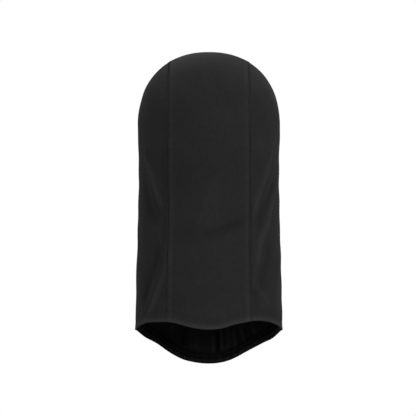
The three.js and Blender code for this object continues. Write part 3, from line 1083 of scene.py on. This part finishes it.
def fleece_material(name, dark, light, sheen):
    """Brushed knit: a mottled nap over faint upright ribs, with a soft sheen, its colour scaled by
    painted light.
    """
    shader = Shader(name, grey(dark), 0.95, specular=0.0)
    shader.surface.inputs["Sheen Weight"].default_value = sheen
    shader.surface.inputs["Sheen Roughness"].default_value = 0.5
    shader.surface.inputs["Sheen Tint"].default_value = (*grey(0.5), 1)
    where = shader.places()
    return shader.finish(mottle_and_painted_light(shader, where, dark, light), nap_bumps(shader, where))


# How far along a thread, in mm, its plies turn once
TWIST_PITCH = 0.55


def thread_material(name, dark, light):
    """Two-ply twisted polyester thread. The plies' height follows the place around the thread,
    turned as far as the twist has come."""
    shader = Shader(name, grey(dark), 0.7, specular=0.09)
    twist = shader.components("twist")
    turn = shader.maths("MULTIPLY", twist["X"], by=2 * math.pi / TWIST_PITCH)
    parts = [
        shader.maths("MULTIPLY", shader.maths(wave, turn), twist[around])
        for wave, around in (("SINE", "Y"), ("COSINE", "Z"))
    ]
    plies = shader.maths("ADD", *parts)
    # painted shade in the grooves between the plies, and a painted highlight on their crests
    shade = shader.ramp(plies, (0.0, grey(dark)), (0.6, grey(light)))
    return shader.finish(shade, shader.bump(plies, distance=0.06 * MM, strength=0.6))


def binding_material():
    """Satin elastic: ribs along the tape, crossed by a fine weave."""
    shader = Shader("binding", grey(0.013), 0.6, specular=0.08)
    weave = shader.attribute("weave")
    ribs = shader.stripes(weave, "Y", scale=0.42, distortion=0.3)
    cross = shader.stripes(weave, "X", scale=0.5)
    normal = shader.bump(ribs, distance=0.12 * MM, strength=0.6)
    normal = shader.bump(cross, distance=0.04 * MM, strength=0.4, before=normal)
    wear = shader.noise(shader.places(), scale=90, detail=4.0)
    return shader.finish(shader.ramp(wear, (0.3, grey(0.011)), (0.75, grey(0.017))), normal)


def label_material():
    """Off-white woven tape."""
    shader = Shader("label", (0.62, 0.61, 0.58), 0.6)
    where = shader.places()
    threads = shader.noise(where, scale=1400, detail=2.0, stretch=(1, 1, 0.2))
    shade = shader.noise(where, scale=140, detail=3.0)
    tones = shader.ramp(shade, (0.3, (0.56, 0.55, 0.52)), (0.7, (0.68, 0.67, 0.64)))
    return shader.finish(tones, shader.bump(threads, distance=0.08 * MM, strength=0.6))


def make_materials():
    """The inside fleece and the inside thread are darker copies of the fleece and the thread: painted
    shade where little light reaches them.
    """
    return {
        "fleece": fleece_material("fleece", 0.0176, 0.0212, sheen=0.09),
        # painted shade: a darker copy of the fleece for the inner face
        "shaded_inside": fleece_material("fleece_inside_painted_shade", 0.0068, 0.0100, sheen=0.0),
        "thread": thread_material("thread", 0.018, 0.034),
        # painted shade: a darker copy of the thread for the inside
        "thread_inside_painted_shade": thread_material("thread_inside_painted_shade", 0.005, 0.010),
        "binding": binding_material(),
        "label": label_material(),
    }


# The camera looks level at the back of the head. The lights are aimed at the middle of the hood.
CAMERA_PLACE = (-1 * MM, -2.5, -178 * MM)
SENSOR_WIDTH, LENS = 36, 186
MIDDLE = (0, 0, -0.18)

# The lights: name, place, width and height in metres, and watts
LIGHTS = [
    ("key", (1.4, -2.0, 0.5), (0.7, 0.7), 43.5),
    ("top", (0.05, 0.8, 1.4), (0.8, 0.8), 18),
    ("fill", (-1.7, -1.2, 0.1), (0.6, 1.2), 7.5),
    ("left_edge", (-1.8, 0.5, 0.1), (0.4, 1.2), 8.7),
]

# How bright the white surroundings are as a light. The camera sees them plain white.
WHITE_DOME = 0.33
FLOOR_SIZE, FLOOR_LEVEL = 2.4, -0.56


def area_light(name, place, size, watts):
    """A soft rectangular light that the camera doesn't see."""
    light = bpy.data.lights.new(name, "AREA")
    light.shape = "RECTANGLE"
    light.size, light.size_y = size
    light.energy = watts
    lamp = bpy.data.objects.new(name, light)
    lamp.location = place
    lamp.rotation_euler = (Vector(MIDDLE) - Vector(place)).to_track_quat("-Z", "Y").to_euler()
    lamp.visible_camera = False
    bpy.context.scene.collection.objects.link(lamp)


def make_camera():
    camera = bpy.data.objects.new("camera", bpy.data.cameras.new("camera"))
    bpy.context.scene.collection.objects.link(camera)
    camera.location = CAMERA_PLACE
    camera.rotation_euler = (QUARTER, 0, 0)
    camera.data.sensor_width = SENSOR_WIDTH
    camera.data.lens = LENS
    bpy.context.scene.camera = camera


def make_surroundings():
    """A world that the camera sees plain white, and that lights the hood less than that."""
    world = bpy.data.worlds.new("studio")
    world.use_nodes = True
    nodes, links = world.node_tree.nodes, world.node_tree.links
    background = nodes["Background"]
    background.inputs["Color"].default_value = (1, 1, 1, 1)
    seen = nodes.new("ShaderNodeLightPath")
    strength = nodes.new("ShaderNodeMapRange")
    strength.inputs["To Min"].default_value = WHITE_DOME
    strength.inputs["To Max"].default_value = 1.0
    links.new(seen.outputs["Is Camera Ray"], strength.inputs["Value"])
    links.new(strength.outputs["Result"], background.inputs["Strength"])
    bpy.context.scene.world = world


def make_floor():
    """A white floor below the hood that neither lights it nor darkens it."""
    bpy.ops.mesh.primitive_plane_add(size=FLOOR_SIZE, location=(0, 0, FLOOR_LEVEL))
    floor = bpy.context.object
    floor.name = "floor"
    floor.data.materials.append(Shader("floor", grey(0.92), 1.0).material)
    floor.visible_diffuse = False
    floor.visible_shadow = False


def make_studio():
    """White surroundings, a floor, a main light from the upper right, and three weaker ones."""
    bpy.context.scene.view_settings.view_transform = "Standard"
    make_surroundings()
    for light in LIGHTS:
        area_light(*light)
    make_floor()


def main():
    make_camera()
    make_studio()
    materials = make_materials()
    centre = panel("centre_panel", *centre_rows(), materials)
    left = panel("left_side_panel", *side_rows(-1), materials)
    right = panel("right_side_panel", *side_rows(1), materials)
    thread = materials["thread"]
    edging = [face_binding(materials["binding"]), binding_stitch(thread), *bar_tacks(thread)]
    threads = seam_threads(materials) + hem_threads(materials)
    label = care_label(materials["label"])


main()
